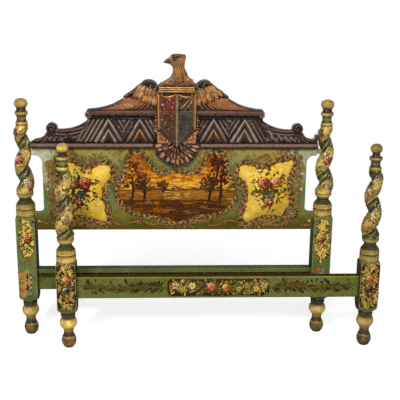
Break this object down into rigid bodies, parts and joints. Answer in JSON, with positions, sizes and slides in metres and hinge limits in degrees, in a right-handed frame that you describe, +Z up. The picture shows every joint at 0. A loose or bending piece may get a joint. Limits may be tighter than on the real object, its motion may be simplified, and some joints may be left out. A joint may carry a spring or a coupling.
{
  "type": "carved bed",
  "caption": "Headboard and footboard of an old double bed: corkscrew posts, painted panel and rails, and a carved eagle crest; side rails hook into slotted plates.",
  "frame": {"origin": "on the floor, under the middle of the whole: midway between the outer faces of the posts", "axes": "+X along the boards to the viewer's right, +Y to the back, +Z up; the fronts face -Y"},
  "size_m": [1.724, 0.25, 1.3808],
  "materials": {
    "green_paint": "aged olive-green paint, worn to wood at edges, with painted flowers and scrolls",
    "twist_paint": "glazed ochre, green and brown paint",
    "ochre_paint": "glazed ochre paint with dark grooves",
    "dark_carving": "dark stained carved wood",
    "brown_carving": "orange-brown stained carved wood",
    "shield_paint": "painted quarters with a cream border",
    "bare_wood": "bare aged wood",
    "iron": "dark forged iron",
    "screw_steel": "dull steel"
  },
  "bodies": {
    "headboard": {"back_batten_left": "bare_wood", "back_batten_right": "bare_wood", "base_moulding_left": "dark_carving", "base_moulding_right": "dark_carving", "batten_screws": "screw_steel", "crest_board": "dark_carving", "crest_dowels": "bare_wood", "eagle_body": "brown_carving", "eagle_dowels": "bare_wood", "eagle_tail": "brown_carving", "head_left_column": "twist_paint", "head_left_finial": "ochre_paint", "head_left_hook_plate": "iron", "head_left_post": "green_paint", "head_panel": "green_paint", "head_pegs": "bare_wood", "head_plate_screws": "screw_steel", "head_rail": "green_paint", "head_right_column": "twist_paint", "head_right_finial": "ochre_paint", "head_right_hook_plate": "iron", "head_right_post": "green_paint", "ledge_left": "dark_carving", "ledge_right": "dark_carving", "left_wing": "brown_carving", "moulding_nails": "screw_steel", "right_wing": "brown_carving", "shield": "shield_paint", "shield_cap": "brown_carving", "wing_dowels": "bare_wood"},
    "footboard": {"foot_left_column": "twist_paint", "foot_left_finial": "ochre_paint", "foot_left_hook_plate": "iron", "foot_left_post": "green_paint", "foot_pegs": "bare_wood", "foot_plate_screws": "screw_steel", "foot_rail": "green_paint", "foot_right_column": "twist_paint", "foot_right_finial": "ochre_paint", "foot_right_hook_plate": "iron", "foot_right_post": "green_paint"}
  },
  "joints": [
    {"name": "footboard_set_out", "type": "slide", "parent": "headboard", "child": "footboard", "axis": [-0.1107, -0.9939, 0], "range_m": [0, 1.8433]}
  ]
}
